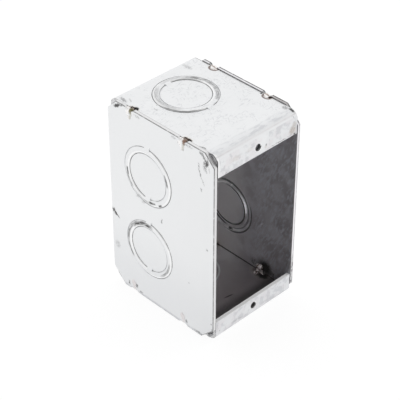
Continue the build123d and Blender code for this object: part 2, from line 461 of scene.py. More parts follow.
# Darker bands round the top's ring, and a painted highlight on the rim that shows on the floor of the box.
ring_y = sums(tree, "SUBTRACT", y, END_KNOCKOUT_Y)
ring_darkening = ring_bands(
    tree,
    x,
    ring_y,
    ring_shading["Radius"],
    [
        (165, 50, 12.6, 1.2, 0.32),
        (60, 42, 12.7, 1.0, 0.25),
        (5, 45, 12.9, 1.0, 0.5),
        (30, 18, 12.4, 0.6, 0.7),
        (-50, 14, 13.2, 0.8, 0.5),
        (-145, 34, 13.9, 0.6, 0.5),
    ],
)
ring_darkening = times(tree, ring_darkening, ring_streaks(tree, x, ring_y, ring_shading["Radius"], place))
ring_darkening = times(tree, ring_darkening, on_top)
# Painted highlight: a bright arc on the floor inside, with bump relief under it.
floor_arc_highlight = ring_bands(tree, x, ring_y, ring_shading["Radius"], [(-52, 34, 14.65, 0.42, 0.95)])
floor_arc_highlight = times(tree, floor_arc_highlight, inside, smooth(tree, z, 10.0, 8.0))

# Stains inside; painted shade on the box's floor, along the seams, in the gaps at the flanges' ends and on
# the bend's cut end; grime on the sheared edges; painted light on the left flange's end and the low inside
# corner.
stain_inside = times(tree, inside, smooth(tree, cloud(tree, place, 0.11, 4.0), 0.4, 0.62))
to_front = sums(tree, "MULTIPLY_ADD", smooth(tree, y, 6.0, -18.0), 0.55, 0.35)
# Painted shade on the box's floor, stronger towards the front.
floor_inside_shade = times(tree, inside, smooth(tree, z, 6.0, 2.5), to_front)
# Painted shade: a dark line along the seams where the plates meet the wrap.
seam = times(tree, smooth(tree, aside, SEAM_X - 0.5, SEAM_X - 0.1), off_edge)
seam = times(tree, seam, sums(tree, "MULTIPLY_ADD", inside, 0.4, 0.5))
edge_grime = times(tree, sheared, smooth(tree, cloud(tree, place, 0.9, 3.0), 0.5, 0.66), 0.55)
# Painted shade in the gap beside the left plate's front edge.
front_gap_shade = times(tree, sheared, smooth(tree, y, -29.0, -29.6), smooth(tree, z, MIDDLE_Z - 10, MIDDLE_Z))
front_gap_shade = times(tree, front_gap_shade, smooth(tree, z, 91.8, 91.0), 0.8)
# Painted shade on the cut end of the top front bend, darkest at its outer edge.
from_bend = bundle(
    tree,
    0.0,
    sums(tree, "SUBTRACT", y, WRAP_FRONT + BEND_OUTSIDE),
    sums(tree, "SUBTRACT", z, WRAP_TOP - BEND_OUTSIDE),
)
bend_end_shade = smooth(tree, vector(tree, "LENGTH", from_bend), 2.6, 3.2)
bend_end_shade = times(tree, sheared, bend_end_shade, smooth(tree, y, -26.5, -27.8), 0.85)
bend_end_shade = times(tree, bend_end_shade, smooth(tree, z, 92.0, 92.8))
# Painted shade: a dark line in the gap at the flange's left end.
gap_line_shade = times(tree, on_flange, smooth(tree, x, -22.7, -22.85), smooth(tree, z, 83.0, 86.0), 0.85)
# Painted highlight on the left end of the flanges.
flange_end_highlight = times(tree, smooth(tree, x, -21.9, -22.3), off_edge, opposite(tree, inside))
flange_end_highlight = times(tree, flange_end_highlight, smooth(tree, y, WRAP_FRONT + 3.0, WRAP_FRONT + 1.5))
flange_end_highlight = times(tree, flange_end_highlight, smooth(tree, z, MIDDLE_Z, MIDDLE_Z + 1.0))
# Painted light on the low left corner inside and the sheared edges there, brightening what lies in shade.
low_edge_light = most(tree, sheared, times(tree, inside, smooth(tree, x, -20.0, -20.8)))
low_edge_light = times(tree, low_edge_light, smooth(tree, y, -25.5, -26.5), smooth(tree, z, 12.0, 10.0))
# Painted shade along the front of the box's floor, behind the lower flange.
floor_front_shade = times(tree, inside, smooth(tree, y, -16.0, -21.5), smooth(tree, z, 6.0, 3.0), 0.7)
floor_front_shade = times(tree, floor_front_shade, opposite(tree, low_edge_light))

# Burnt rings round the weld puddles on the top's right seam, and the two screw holes, with painted shade in
# their bores and a painted highlight round their rims.
puddle_x = sums(tree, "DIVIDE", sums(tree, "SUBTRACT", x, 22.5), 1.7)
puddle_y = sums(tree, "DIVIDE", along_weld(tree, y, 1.2), 2.2)
from_puddle = vector(tree, "LENGTH", bundle(tree, puddle_x, puddle_y, 0.0))
puddle_ring = times(tree, smooth(tree, apart(tree, from_puddle, 0.92), 0.36, 0.1), on_top)
burn_level = times(tree, on_top, smooth(tree, x, 0.0, 1.0))
burn_level = sums(tree, "MULTIPLY_ADD", burn_level, -0.6, 0.93)
from_hole = bundle(tree, x, 0.0, sums(tree, "SUBTRACT", from_middle, SCREW_HALF_PITCH))
from_hole = vector(tree, "LENGTH", from_hole)
into_sheet = smooth(tree, y, WRAP_FRONT + 0.45, WRAP_FRONT + 0.8)
into_sheet = times(tree, into_sheet, smooth(tree, y, WRAP_FRONT + SHEET + 0.3, WRAP_FRONT + SHEET + 0.1))
# Painted shade in the bore.
bore_shade = times(tree, smooth(tree, from_hole, HOLE_RADIUS + 0.15, HOLE_RADIUS + 0.05), into_sheet, 0.85)
hole_rim_highlight = times(tree, smooth(tree, from_hole, HOLE_RADIUS + 0.35, HOLE_RADIUS + 0.1), on_flange)

# Single stains and smudges, each where it lies on the sheet.
FLAT = (0, 0, 0)
yellowed = marks(
    tree,
    place,
    [
        ((-13.0, -31.3, 91.0), (3.6, 1.5, 1.6), FLAT, 0.3),
        ((-5.0, -31.3, 91.3), (2.2, 1.5, 1.2), FLAT, 0.25),
        ((20.4, -31.3, 88.8), (2.6, 1.5, 2.6), FLAT, 0.8),
        ((21.2, -31.3, 91.2), (1.6, 1.5, 1.6), FLAT, 0.6),
        ((4.2, -31.3, 88.3), (1.0, 1.5, 0.9), FLAT, 0.45),
    ],
)
smudges = marks(
    tree,
    place,
    [
        ((-21.6, 25.2, 96.3), (1.0, 2.8, 1.5), (0, 0, -12), 0.6),
        ((-20.0, 22.6, 96.5), (0.5, 1.6, 1.5), (0, 0, -30), 0.45),
        ((-22.2, WELD_REAR - 1.6, 96.4), (1.1, 1.5, 1.5), FLAT, 1.0),
        ((-22.5, WELD_FRONT - 2.2, 96.4), (0.7, 0.8, 1.5), FLAT, 0.95),
        ((-22.6, -23.0, 96.5), (0.5, 2.4, 1.5), (0, 0, 4), 0.8),
        ((15.3, 25.6, 96.4), (1.2, 3.4, 1.5), FLAT, 0.3),
        ((-17.0, 10.5, 96.5), (0.5, 1.4, 1.5), FLAT, 0.4),
        ((-14.6, 12.5, 96.5), (0.35, 0.5, 1.5), FLAT, 0.3),
        ((22.6, -11.2, 96.5), (0.6, 0.7, 1.5), FLAT, 0.95),
        ((22.4, -28.4, 96.0), (0.9, 1.8, 1.8), FLAT, 0.92),
        ((21.6, -25.4, 96.5), (1.2, 1.8, 1.5), FLAT, 0.6),
        ((21.0, -30.4, 94.6), (0.5, 1.2, 1.0), FLAT, 0.5),
        ((20.4, -30.9, 95.6), (0.3, 0.5, 0.5), FLAT, 0.9),
        ((13.0, -31.3, 86.9), (8.0, 1.5, 0.28), FLAT, 0.6),
        ((-17.0, -31.3, 86.5), (3.5, 1.5, 0.25), FLAT, 0.35),
        ((4.6, -31.3, 89.2), (0.5, 1.5, 0.7), FLAT, 0.5),
        ((21.6, -31.3, 86.6), (0.7, 1.5, 0.5), FLAT, 0.8),
        ((22.0, -31.3, 11.6), (0.6, 1.5, 0.5), FLAT, 0.9),
        ((-22.0, -31.3, 7.0), (0.25, 1.5, 2.4), FLAT, 0.25),
        ((-20.9, -31.3, 5.0), (0.5, 1.5, 0.4), FLAT, 0.35),
        ((-10.0, -31.3, 4.6), (4.0, 1.5, 0.8), (0, 8, 0), 0.2),
        ((19.2, -31.3, 5.2), (0.2, 1.5, 2.7), FLAT, 0.25),
        ((14.3, -31.3, 3.4), (5.2, 1.5, 0.2), (0, 11, 0), 0.25),
        ((21.6, -16.8, 2.0), (2.8, 4.2, 1.5), FLAT, 1.0),
        ((20.6, -22.0, 2.0), (1.6, 3.6, 1.5), (0, 0, 20), 0.8),
        ((0.5, -15.8, 2.05), (3.0, 0.45, 0.6), (0, 0, -10.6), 0.8),
    ],
)
# Grime and painted shade together.
dirt_and_shade = most(
    tree,
    times(tree, ring_shading["Slit shade"], 0.7),
    ring_darkening,
    seam,
    edge_grime,
    front_gap_shade,
    bend_end_shade,
    gap_line_shade,
    floor_front_shade,
    bore_shade,
    smudges,
    times(tree, heat["Burn"], burn_level),
)
bloom = most(tree, times(tree, sheared, 0.6), times(tree, low_edge_light, 1.2), floor_arc_highlight, lip)
rolled = sums(tree, "MULTIPLY_ADD", floor_arc_highlight, 1.1, ring_shading["Relief"])
rolled = sums(tree, "MULTIPLY_ADD", lip, sums(tree, "SUBTRACT", y, WRAP_FRONT), rolled)
zinc_finish(
    tree,
    shader,
    grain,
    tint(tree, inside, PALE_ZINC, DULL_SHADED_ZINC),
    [
        (times(tree, stain_inside, 0.3), PURPLE_STAIN_AND_SHADE),
        (floor_inside_shade, PURPLE_STAIN_AND_SHADE),
        (floor_arc_highlight, PAINTED_HIGHLIGHT),
        (sheared, SHEARED_ZINC),
        (low_edge_light, PAINTED_HIGHLIGHT),
        (times(tree, flange_pink, 0.35), PINK_TINT),
        (scuffs, SCUFF_GREY),
        (yellowed, YELLOW_STAIN),
        (times(tree, ring_shading["Bright"], 0.8), PAINTED_HIGHLIGHT),
        (times(tree, hole_rim_highlight, 0.8), PAINTED_HIGHLIGHT),
        (most(tree, flange_end_highlight, lip), PAINTED_HIGHLIGHT),
        (times(tree, heat["Straw"], 0.25), STRAW_TINT),
        (times(tree, heat["Brown"], 0.6), BROWN_TINT),
        (times(tree, puddle_ring, 0.85), BURNT_RING),
    ],
    dirt_and_shade,
    bloom,
    rolled,
)
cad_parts["wrap"].material_slots[0].material = wrap_zinc


# Side plates: one blank of the same sheet for both sides, sheared with slanted corners and punched, and
# turned end over end for the right side. They are welded on outside the wrap's edges, and a dark line runs
# along their outer arris.

PLATE_HALF_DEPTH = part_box("left_side_plate")[1][1] / MM
PLATE_FACE = SEAM_X + SHEET
CUT_UPPER, CUT_LOWER = 5.3, 7.2
SIDE_KNOCKOUT_Y, SIDE_KNOCKOUT_LIFT, SIDE_KNOCKOUT_HALF = 7.5, 0.3, 19.2
CUT_EDGE = (0.82, 0.82, 0.825, 1)
# Inside base tones: a bluish grey at the front and, deeper in, a near-white that is painted light.
FRONT_INSIDE, DEEP_INSIDE_LIT = (0.84, 0.84, 0.88, 1), (0.98, 0.98, 0.98, 1)
SCRATCH_BRIGHT = (0.9, 0.92, 0.98, 1)
# Cut-edge colours of the right plate: painted light, patchy painted shade, and a dull brownish stain.
LIT_EDGE, SHADED_EDGE, DULL_EDGE = (0.93, 0.92, 0.945, 1), (0.34, 0.33, 0.35, 1), (0.56, 0.54, 0.54, 1)

# Painted shade lines in each knockout inside: angle and half angle, radius and half width, strength.
SHADE_LINES_INSIDE = [
    (180, 100, 10.3, 0.42, 0.92),
    (60, 60, 10.3, 0.42, 0.92),
    (255, 42, 12.3, 0.6, 0.95),
    (185, 40, 12.3, 0.35, 0.8),
    (135, 40, 12.7, 0.3, 0.75),
    (145, 58, 14.5, 0.4, 0.85),
    (56, 28, 12.4, 0.6, 0.95),
    (96, 5, 13.4, 0.7, 0.9),
]


def plate_zinc(plate, flip, arcs_above, arcs_below, spots, shades):
    """Finish of one plate. Flip is -1 where the blank is turned end over end."""
    material, tree, shader, place, grain = zinc_sheet(plate + "_zinc", 0.014)

    # Where on the blank a point lies.
    x, y, z = axes(tree, place)
    height = times(tree, sums(tree, "SUBTRACT", z, MIDDLE_Z), flip)
    aside = sums(tree, "ABSOLUTE", x)
    to_front = sums(tree, "SUBTRACT", PLATE_HALF_DEPTH, sums(tree, "ABSOLUTE", y))
    to_end = sums(tree, "SUBTRACT", PLATE_HALF, sums(tree, "ABSOLUTE", height))
    upper = smooth(tree, height, -1.0, 1.0)
    cut_size = sums(tree, "MULTIPLY_ADD", upper, CUT_UPPER - CUT_LOWER, CUT_LOWER)
    to_slant = sums(tree, "SUBTRACT", sums(tree, "ADD", to_front, to_end), cut_size)
    to_slant = times(tree, to_slant, math.sqrt(0.5))
    rim = sums(tree, "MINIMUM", sums(tree, "MINIMUM", to_front, to_end), to_slant)
    under_face = sums(tree, "SUBTRACT", PLATE_FACE, aside)
    inside = smooth(tree, under_face, SHEET - 0.7, SHEET - 0.3)
    inside = times(tree, inside, smooth(tree, rim, 0.05, 0.3))
    above = sums(tree, "SUBTRACT", height, SIDE_KNOCKOUT_LIFT)
    up = sums(tree, "SUBTRACT", above, times(tree, sums(tree, "SIGN", above), SIDE_KNOCKOUT_HALF))
    across = sums(tree, "SUBTRACT", y, SIDE_KNOCKOUT_Y)
    ring_shading = placed(tree, knockout_shading, Across=across, Up=up, Inside=inside, Place=place)
    heat = placed(tree, weld_heat, Place=place, Reach=sums(tree, "MULTIPLY_ADD", inside, 1.1, 0.55))

    # A dark line on the outer arris and on the inner lip, the sheared edge's colour, and a greyer foot.
    patchy = smooth(tree, cloud(tree, place, 0.5, 3.0), 0.1, 0.55)
    not_back = smooth(tree, y, 29.5, 27.5)
    arris_width = 0.75 - 0.35 * flip
    arris = smooth(tree, most(tree, rim, under_face), arris_width, arris_width / 2)
    arris = times(tree, arris, not_back, patchy, 0.7 - 0.08 * flip)
    if flip < 0:
        front_edge = smooth(tree, y, -30.8, -31.2)
        arris = times(tree, arris, sums(tree, "MULTIPLY_ADD", front_edge, -0.6, 1.0))
    cut = times(tree, smooth(tree, rim, 0.1, 0.03), smooth(tree, under_face, 0.2, 0.3))
    lip = smooth(tree, under_face, SHEET - 0.3, SHEET - 0.1)
    lip = times(tree, lip, smooth(tree, rim, 0.7, 0.4), 0.3)
    on_face = smooth(tree, under_face, 0.8, 0.4)
    foot = times(tree, smooth(tree, z, 1.9, 0.7), on_face, patchy, 0.65)
    # The face turns greyer towards the bottom.
    low = times(tree, smooth(tree, z, 46.0, 4.0), on_face, 0.2)

    # Dark rubbing on the rings outside, and painted shade lines, scratches and mottling inside.
    ring = (tree, across, up, ring_shading["Radius"])
    dark_above = times(tree, ring_bands(*ring, arcs_above), upper)
    dark_below = times(tree, ring_bands(*ring, arcs_below), opposite(tree, upper))
    ring_dark = times(tree, most(tree, dark_above, dark_below), ring_streaks(*ring, place))
    ring_dark = times(tree, ring_dark, smooth(tree, under_face, 0.6, 0.2))
    shade_lines_inside = times(tree, ring_bands(*ring, SHADE_LINES_INSIDE), inside)
    streaks = cloud(tree, turned(tree, place, (0, 0, 0), (25, 0, 0), (0.6, 0.6, 2.0)), 0.7, 5.0)
    scratched = times(tree, inside, smooth(tree, y, -3.0, -14.0), smooth(tree, streaks, 0.48, 0.62))
    mottled = smooth(tree, cloud(tree, place, 0.13, 5.0), 0.4, 0.6)
    mottled = times(tree, mottled, inside, smooth(tree, y, 6.0, -4.0))
    # Painted shade in the inside corner where the plate meets the wrap.
    corner_shade = times(tree, inside, smooth(tree, to_end, 2.7, 2.2), 0.8)
    # Grime and painted shade together.
    dirt_and_shade = most(
        tree,
        times(tree, ring_shading["Slit shade"], 0.66),
        ring_dark,
        shade_lines_inside,
        arris,
        lip,
        corner_shade,
        marks(tree, place, spots),
        times(tree, heat["Burn"], sums(tree, "MULTIPLY_ADD", inside, 0.45, 0.5)),
    )
    edge_layers = [(times(tree, cut, mask(tree, place)), shade) for mask, shade in shades]
    # Painted light: the inside grows lighter towards the back.
    inside_light_tone = tint(tree, smooth(tree, y, -8.0, 6.0), FRONT_INSIDE, DEEP_INSIDE_LIT)
    zinc_finish(
        tree,
        shader,
        grain,
        tint(tree, inside, PALE_ZINC, inside_light_tone),
        [
            (times(tree, mottled, 0.35), PURPLE_STAIN_AND_SHADE),
            (times(tree, scratched, 0.8), SCRATCH_BRIGHT),
            (low, SCUFF_GREY),
            (foot, SCUFF_GREY),
            (cut, CUT_EDGE),
            *edge_layers,
            (times(tree, ring_shading["Bright"], opposite(tree, inside)), PAINTED_HIGHLIGHT),
            (times(tree, heat["Straw"], 0.2), STRAW_TINT),
            (times(tree, heat["Brown"], 0.5), BROWN_TINT),
        ],
        dirt_and_shade,
        times(tree, scratched, 0.25),
        ring_shading["Relief"],
    )
    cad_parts[plate].material_slots[0].material = material


# Right plate's cut edge: painted light above, patchy painted shade below, a dull stain at the top front.
def lit_length(tree, place):
    return smooth(tree, axes(tree, place)[2], 18.0, 24.0)


def shaded_foot(tree, place):
    foot = smooth(tree, axes(tree, place)[2], 22.0, 17.0)
    return times(tree, foot, smooth(tree, cloud(tree, place, 0.8, 4.0), 0.35, 0.62))


def dull_top(tree, place):
    y, z = axes(tree, place)[1:]
    return times(tree, smooth(tree, z, 95.0, 96.5), smooth(tree, y, -13.5, -15.5))


FACE = -PLATE_FACE
plate_zinc(
    "left_side_plate",
    1,
    [
        (-11, 9, 12.4, 0.5, 0.95),
        (-30, 15, 12.9, 0.6, 0.5),
        (-47, 6, 14.0, 0.5, 0.8),
        (-78, 24, 13.2, 0.9, 0.3),
        (-103, 9, 12.3, 0.55, 0.95),
        (-126, 5, 13.3, 0.5, 0.95),
        (162, 13, 12.2, 0.45, 0.95),
    ],
    [
        (70, 28, 12.8, 1.0, 0.95),
        (20, 28, 13.1, 0.7, 0.6),
        (-25, 16, 13.2, 0.5, 0.7),
        (-150, 24, 12.8, 0.6, 0.55),
    ],
    [
        ((FACE, 28.7, 37.8), (1.0, 3.2, 0.5), (38, 0, 0), 0.9),
        ((FACE, 30.2, 39.0), (1.0, 1.1, 1.3), FLAT, 0.95),
        ((FACE, 28.9, 37.6), (1.0, 1.2, 1.0), FLAT, 0.8),
        ((FACE, 28.5, 20.8), (1.0, 2.0, 2.4), FLAT, 0.28),
        ((FACE, 19.6, 95.0), (1.0, 0.3, 1.2), FLAT, 0.1),
        ((FACE, 25.4, 95.2), (1.4, 2.8, 1.0), (-32, 0, 0), 0.92),
        ((FACE + 0.9, 28.4, 94.8), (0.9, 1.6, 1.6), FLAT, 0.75),
        ((FACE, 23.0, 96.4), (1.4, 1.4, 0.7), (-20, 0, 0), 0.8),
        ((FACE, -27.0, 92.4), (1.2, 1.5, 2.8), (20, 0, 0), 0.85),
        ((FACE, -27.4, 92.0), (1.2, 0.9, 1.4), (20, 0, 0), 0.9),
        ((FACE, -25.6, 94.6), (1.2, 2.8, 0.9), (48, 0, 0), 0.85),
        ((FACE, -25.9, 90.0), (1.2, 0.9, 2.4), (-10, 0, 0), 0.5),
        ((FACE, -24.0, 95.4), (1.2, 1.4, 0.7), (40, 0, 0), 0.75),
        ((FACE, -26.8, 89.2), (1.0, 0.45, 2.0), (-14, 0, 0), 0.5),
        ((FACE, -28.6, 89.8), (1.0, 0.4, 1.6), (-14, 0, 0), 0.4),
        ((FACE, -23.4, 86.0), (1.0, 0.45, 3.4), (-19, 0, 0), 0.8),
        ((FACE, -22.8, 89.4), (1.0, 0.4, 1.6), (-10, 0, 0), 0.5),
        ((FACE, -24.2, 78.0), (1.0, 0.4, 1.2), (-15, 0, 0), 0.5),
        ((FACE, -27.7, 49.2), (1.0, 0.75, 0.8), FLAT, 0.5),
        ((FACE, -16.9, 25.3), (1.0, 0.6, 0.6), FLAT, 0.2),
        ((FACE, -25.4, 82.0), (1.0, 0.35, 1.8), (-25, 0, 0), 0.5),
        ((FACE, 13.4, 55.5), (1.0, 2.6, 1.2), (-30, 0, 0), 0.35),
        ((FACE, 10.6, 53.6), (1.0, 1.8, 0.9), (-20, 0, 0), 0.3),
        ((FACE, -0.6, 49.4), (1.0, 0.45, 1.5), (10, 0, 0), 0.85),
        ((FACE, -30.4, 10.4), (1.0, 0.5, 0.5), FLAT, 0.5),
        ((FACE, -30.8, 7.4), (1.0, 0.4, 0.6), FLAT, 0.5),
        ((FACE, -16.2, 95.6), (1.0, 3.6, 0.7), FLAT, 0.35),
        ((FACE, -8.5, 95.6), (1.0, 2.0, 0.8), FLAT, 0.3),
        ((FACE, 13.2, 95.4), (1.0, 2.4, 0.7), FLAT, 0.3),
        ((FACE, 21.6, 2.6), (1.4, 0.7, 1.5), FLAT, 0.8),
        ((FACE, 16.6, 3.6), (1.4, 0.75, 1.5), FLAT, 0.85),
        ((FACE, 13.6, 1.6), (1.4, 1.2, 0.8), FLAT, 0.6),
        ((FACE, -15.2, 2.6), (1.4, 0.7, 1.3), FLAT, 0.75),
        ((FACE, -22.6, 1.2), (1.2, 3.0, 0.8), FLAT, 0.55),
    ],
    [],
)
plate_zinc(
    "right_side_plate",
    -1,
    [(100, 40, 12.6, 1.0, 0.4)],
    [(-60, 40, 12.6, 1.0, 0.4)],
    [
        ((24.6, -27.4, 94.0), (1.6, 2.4, 2.4), FLAT, 0.7),
        ((24.6, 26.0, 96.8), (1.6, 5.0, 1.6), FLAT, 0.3),
        ((24.4, -31.4, 89.4), (0.5, 1.5, 1.2), FLAT, 0.5),
        ((23.4, -16.2, 5.4), (1.0, 6.0, 5.8), FLAT, 1.0),
        ((23.4, -20.5, 4.0), (1.0, 4.0, 2.4), FLAT, 0.8),
        ((23.4, -10.0, 4.8), (1.0, 3.4, 3.0), FLAT, 0.7),
        ((23.4, -27.0, 5.0), (1.0, 3.0, 1.6), FLAT, 0.5),
    ],
    [(lit_length, LIT_EDGE), (shaded_foot, SHADED_EDGE), (dull_top, DULL_EDGE)],
)


# Weld beads: eight small fused lumps of the sheets' own steel, two on each seam, which hold the plates to
# the wrap. Each has a bright frozen nugget towards the back, a brown drip in front of it, and painted shade
# for pits round both.

BEAD_NET = 0.22
bead_low, bead_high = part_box("weld_beads")

# Each lump: distance from the box's middle plane, place from the weld's middle, depth from the plate's
# edge, and its reach along the three axes.
SEAM_LUMPS = {
    (-1, 1): [
        ((24.9, -0.8, 1.9), (0.4, 0.85, 2.3)),
        ((24.7, 1.3, 2.3), (0.6, 1.5, 1.7)),
        ((24.0, 1.4, 1.0), (0.9, 1.5, 0.9)),
    ],
    (1, 1): [
        ((22.5, -1.1, 0.7), (1.1, 1.6, 0.5)),
        ((22.8, -2.4, 0.9), (0.9, 1.1, 0.7)),
        ((23.6, -0.6, 1.1), (1.3, 1.5, 0.9)),
        ((24.8, 0.4, 2.4), (0.5, 1.3, 1.5)),
    ],
    (-1, -1): [
        ((24.75, 0.7, 4.5), (0.65, 1.3, 1.6)),
        ((24.6, 0.5, 2.2), (0.6, 1.3, 1.7)),
        ((24.2, 0.0, 1.0), (0.85, 2.6, 0.95)),
    ],
    (1, -1): [
        ((24.75, 0.4, 4.0), (0.65, 1.3, 1.7)),
        ((24.2, 0.0, 1.0), (0.85, 2.6, 0.95)),
        ((22.6, -0.6, 5.0), (1.3, 1.7, 1.6)),
        ((20.9, 0.0, 2.4), (1.5, 1.6, 1.1)),
    ],
}
PIT_DEPTH = 0.75
DRIP_AT_FRONT, DRIP_AT_REAR, DRIP_FOOT = (0.34, 0.22, 0.17, 1), (0.27, 0.25, 0.15, 1), (0.84, 0.83, 0.77, 1)
SCALE_DARK, SCALE_LIGHT, SCALE_RIGHT = (0.11, 0.07, 0.055, 1), (0.50, 0.42, 0.36, 1), (0.50, 0.40, 0.36, 1)
CHARRED, PIT_SHADE = (0.03, 0.022, 0.02, 1), (0.05, 0.045, 0.042, 1)
NUGGET_BRIGHT, NUGGET_BELOW = (1.0, 0.985, 0.975, 1), (0.80, 0.765, 0.765, 1)
NUGGET_INSIDE = (0.98, 0.91, 0.90, 1)


def evaluated(piece, name):
    graph = bpy.context.evaluated_depsgraph_get()
    mesh = bpy.data.meshes.new_from_object(piece.evaluated_get(graph), depsgraph=graph)
    mesh.name = name
    piece.modifiers.clear()
    piece.data = mesh
    return mesh


def fused_bead(piece, blank, side, end, weld):
    """One bead: its blank, flat on the plate and sunk in the left seam's pits, fused with its lumps."""
    shape = bmesh.new()
    shape.from_mesh(blank)
    bmesh.ops.remove_doubles(shape, verts=shape.verts, dist=0.002 * MM)
    middle = Vector((side * SEAM_X, weld, MIDDLE_Z + end * PLATE_HALF)) * MM
    others = [corner for corner in shape.verts if (corner.co - middle).length > 10 * MM]
    bmesh.ops.delete(shape, geom=others, context="VERTS")
    for corner in shape.verts:
        proud = abs(corner.co.x) / MM - PLATE_FACE
        if proud > 0:
            corner.co.x = side * (PLATE_FACE + 0.2 * proud) * MM
        elif side < 0 and corner.co.x > -(SEAM_X + 0.01) * MM:
            corner.co.z = min(corner.co.z, (PLATE_HALF * 2 - PIT_DEPTH) * MM)
    for (out, along, deep), reach in SEAM_LUMPS[side, end]:
        centre = Vector((side * out, weld + along, MIDDLE_Z + end * (PLATE_HALF - deep)))
        uneven = 1.0 + 0.18 * noise.noise(centre * 0.7)
        size = Matrix.Diagonal(Vector(reach) * uneven * MM).to_4x4()
        spot = Matrix.Translation(centre * MM) @ size
        bmesh.ops.create_icosphere(shape, subdivisions=2, radius=1.0, matrix=spot)
    piece.data = bpy.data.meshes.new("bead")
    shape.to_mesh(piece.data)
    shape.free()
    even_net = piece.modifiers.new("even_net", "REMESH")
    even_net.mode = "VOXEL"
    even_net.voxel_size = BEAD_NET * MM
    return evaluated(piece, "bead")


fused_beads = bpy.data.objects.new("fused_beads", bpy.data.meshes.new("bead"))
bpy.context.scene.collection.objects.link(fused_beads)
all_beads = bmesh.new()
for side, end in SEAM_LUMPS:
    for weld in (WELD_REAR, WELD_FRONT):
        all_beads.from_mesh(fused_bead(fused_beads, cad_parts["weld_beads"].data, side, end, weld))
all_beads.normal_update()
for corner in all_beads.verts:
    spot = corner.co / MM
    lumps = 0.22 * noise.noise(spot * 0.8) + 0.14 * noise.noise(spot * 1.9) - 0.06
    moved = corner.co + corner.normal * lumps * MM
    corner.co = [min(max(moved[k], bead_low[k]), bead_high[k]) for k in range(3)]
bead_mesh = bpy.data.meshes.new("fused_beads")
all_beads.to_mesh(bead_mesh)
all_beads.free()
fused_beads.data = bead_mesh
bead_mesh.shade_smooth()

# Heat-stained scale, with the drip, the bright nuggets and painted pit shade over it.
weld_metal = bpy.data.materials.new("heat_stained_weld")
weld_metal.use_nodes = True
tree = weld_metal.node_tree
shader = tree.nodes["Principled BSDF"]
place = millimetres(tree)
x, y, z = axes(tree, place)
along = along_weld(tree, y)
aside = sums(tree, "ABSOLUTE", x)
on_face = smooth(tree, aside, SEAM_X + 0.1, SEAM_X + 0.5)
stain = cloud(tree, place, 0.8, 4.0)
speck = cloud(tree, place, 2.2, 3.0)
upper = smooth(tree, z, MIDDLE_Z - 1.0, MIDDLE_Z + 1.0)
in_drip = smooth(tree, apart(tree, along, -0.8), 1.1, 0.65)
in_drip = times(tree, in_drip, upper, smooth(tree, x, 0.0, -1.0))
puddle = smooth(tree, z, PLATE_HALF * 2 - 0.6, PLATE_HALF * 2 - 0.35)
puddle = times(tree, puddle, smooth(tree, x, 19.0, 20.0), smooth(tree, aside, 23.2, 22.8))
lumps_inside = times(tree, smooth(tree, aside, 23.3, 22.9), smooth(tree, stain, 0.4, 0.5))
lumps_inside = times(tree, lumps_inside, opposite(tree, upper))
below = times(tree, opposite(tree, upper), smooth(tree, aside, 23.4, 23.8))
nugget = times(tree, on_face, opposite(tree, in_drip))
bare_metal = most(tree, nugget, puddle, lumps_inside, below)
drip = tint(tree, smooth(tree, y, 0.0, 5.0), DRIP_AT_FRONT, DRIP_AT_REAR)
drip = tint(tree, smooth(tree, z, 96.2, 93.9), drip, DRIP_FOOT)
colour = tint(tree, smooth(tree, stain, 0.42, 0.58), SCALE_DARK, SCALE_LIGHT)
top_right = times(tree, upper, smooth(tree, x, 0.0, 1.0))
colour = tint(tree, times(tree, top_right, 0.8), colour, SCALE_RIGHT)
burnt_end = times(tree, smooth(tree, along, -1.2, -1.8), smooth(tree, x, 0.0, -1.0), upper)
colour = tint(tree, burnt_end, colour, CHARRED)
colour = tint(tree, times(tree, in_drip, on_face), colour, drip)
fresh = tint(tree, below, NUGGET_BRIGHT, NUGGET_BELOW)
fresh = tint(tree, lumps_inside, fresh, NUGGET_INSIDE)
colour = tint(tree, bare_metal, colour, fresh)
# Painted shade: dark specks standing in for pits.
pits = times(tree, smooth(tree, speck, 0.6, 0.7), 0.5)
colour = tint(tree, pits, colour, PIT_SHADE)
join(tree, colour, shader.inputs["Base Color"])
shine = sums(tree, "MULTIPLY_ADD", bare_metal, 0.5, 0.45)
join(tree, sums(tree, "SUBTRACT", shine, times(tree, lumps_inside, 0.15)), shader.inputs["Metallic"])
join(tree, sums(tree, "MULTIPLY_ADD", speck, 0.3, 0.25), shader.inputs["Roughness"])
bead_mesh.materials.clear()
bead_mesh.materials.append(weld_metal)
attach(fused_beads, "root")
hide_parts("weld_beads")


# Screw threads: a No. 6-32 thread is tapped straight into each flange, and its ridges show inside the two
# holes. One spiral ridge is swept by nodes and set into both holes.

THREAD_PITCH = 0.794
THREAD_DEPTH = 0.34
TAPPED_ZINC = (0.85, 0.85, 0.86)


